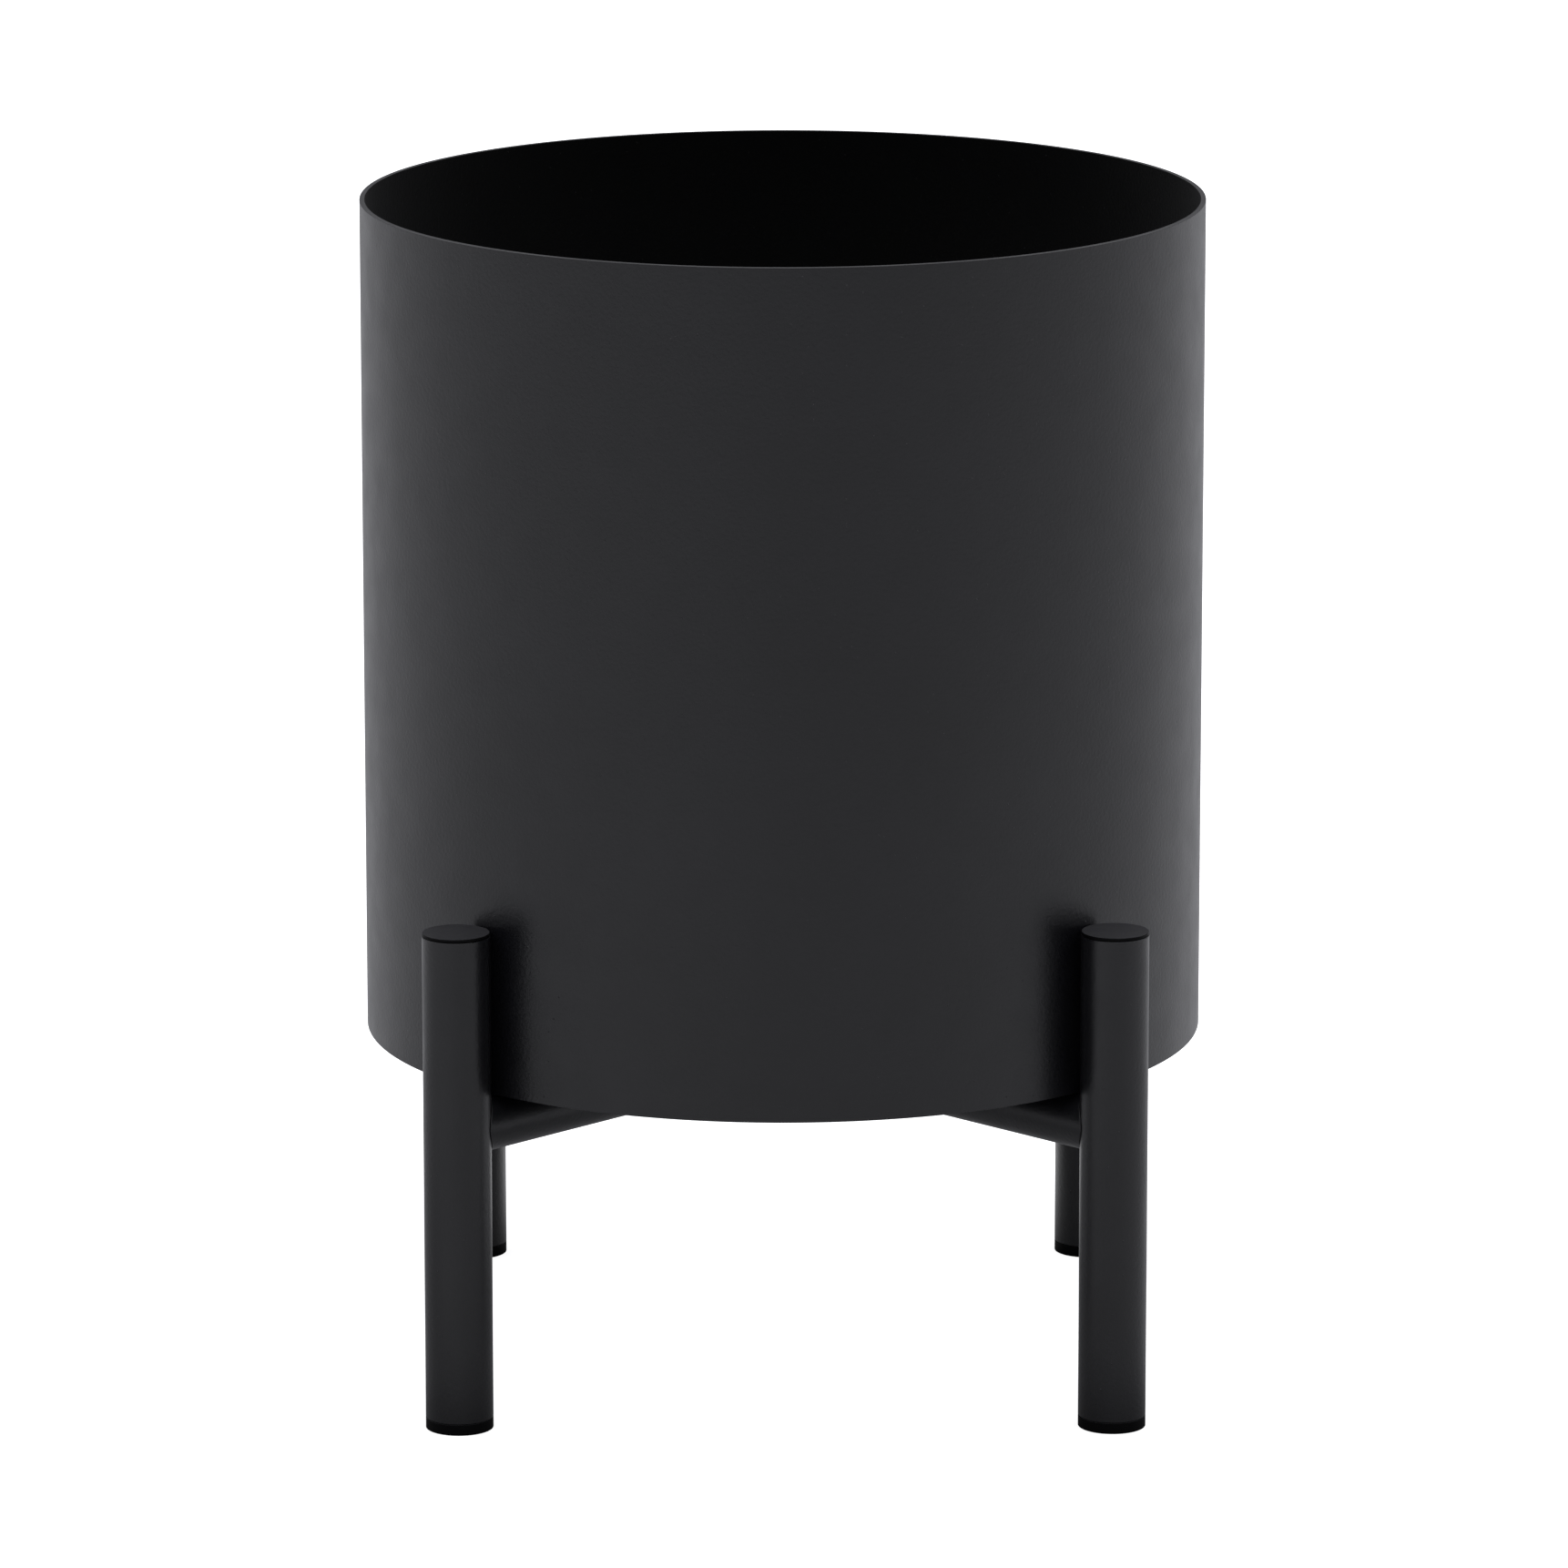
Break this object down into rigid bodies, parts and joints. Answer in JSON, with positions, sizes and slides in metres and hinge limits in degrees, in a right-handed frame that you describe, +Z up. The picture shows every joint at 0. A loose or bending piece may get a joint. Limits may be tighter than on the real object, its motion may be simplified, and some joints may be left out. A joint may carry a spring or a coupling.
{
  "type": "ashtray bin",
  "caption": "Round open-topped ash bin: a sheet-steel pot in a low four-leg tube stand, with a lift-out bucket and a perforated stub plate set deep inside.",
  "frame": {"origin": "on the floor, under the middle of the pot", "axes": "+Z up along the pot's axis, -Y towards the front; the four legs stand on the diagonals between X and Y"},
  "size_m": [0.4, 0.4, 0.5595],
  "materials": {
    "charcoal_paint": "fine-texture charcoal powder coat",
    "black_plastic": "satin moulded",
    "black_rubber": "matt",
    "galvanised_steel": "hot-dip galvanised, fine spangle",
    "stainless_steel": "brushed stainless"
  },
  "bodies": {
    "stand": {"leg_front_left": "charcoal_paint", "leg_front_right": "charcoal_paint", "leg_rear_right": "charcoal_paint", "leg_rear_left": "charcoal_paint", "top_cap_front_left": "black_plastic", "top_cap_front_right": "black_plastic", "top_cap_rear_right": "black_plastic", "top_cap_rear_left": "black_plastic", "foot_cap_front_left": "black_plastic", "foot_cap_front_right": "black_plastic", "foot_cap_rear_right": "black_plastic", "foot_cap_rear_left": "black_plastic", "cross_bar_long": "charcoal_paint", "cross_bar_short_right": "charcoal_paint", "cross_bar_short_left": "charcoal_paint"},
    "pot": {"pot_shell": "charcoal_paint", "pot_base": "charcoal_paint", "base_pad_front_left": "black_rubber", "base_pad_front_right": "black_rubber", "base_pad_rear_right": "black_rubber", "base_pad_rear_left": "black_rubber"},
    "liner": {"liner_wall": "galvanised_steel", "liner_base": "galvanised_steel", "bail_ear_left": "galvanised_steel", "bail_ear_right": "galvanised_steel", "ear_rivet_left_a": "galvanised_steel", "ear_rivet_left_b": "galvanised_steel", "ear_rivet_right_a": "galvanised_steel", "ear_rivet_right_b": "galvanised_steel"},
    "bail": {"bail": "galvanised_steel"},
    "ash_tray": {"stub_plate": "stainless_steel", "ring_saddle": "stainless_steel", "saddle_rivet_front": "stainless_steel", "saddle_rivet_rear": "stainless_steel"},
    "lift_ring": {"lift_ring": "stainless_steel"}
  },
  "joints": [
    {"name": "pot_lift", "type": "slide", "parent": "stand", "child": "pot", "axis": [0, 0, 1], "range_m": [0, 0.1]},
    {"name": "liner_lift", "type": "slide", "parent": "pot", "child": "liner", "axis": [0, 0, 1], "range_m": [0, 0.42]},
    {"name": "bail_swing", "type": "hinge", "parent": "liner", "child": "bail", "pos_m": [0, 0, 0.436], "axis": [1, 0, 0], "range_deg": [0, 228]},
    {"name": "tray_lift", "type": "slide", "parent": "liner", "child": "ash_tray", "axis": [0, 0, 1], "range_m": [0, 0.13]},
    {"name": "ring_swing", "type": "hinge", "parent": "ash_tray", "child": "lift_ring", "pos_m": [0, 0, 0.453], "axis": [-1, 0, 0], "range_deg": [0, 180]}
  ]
}
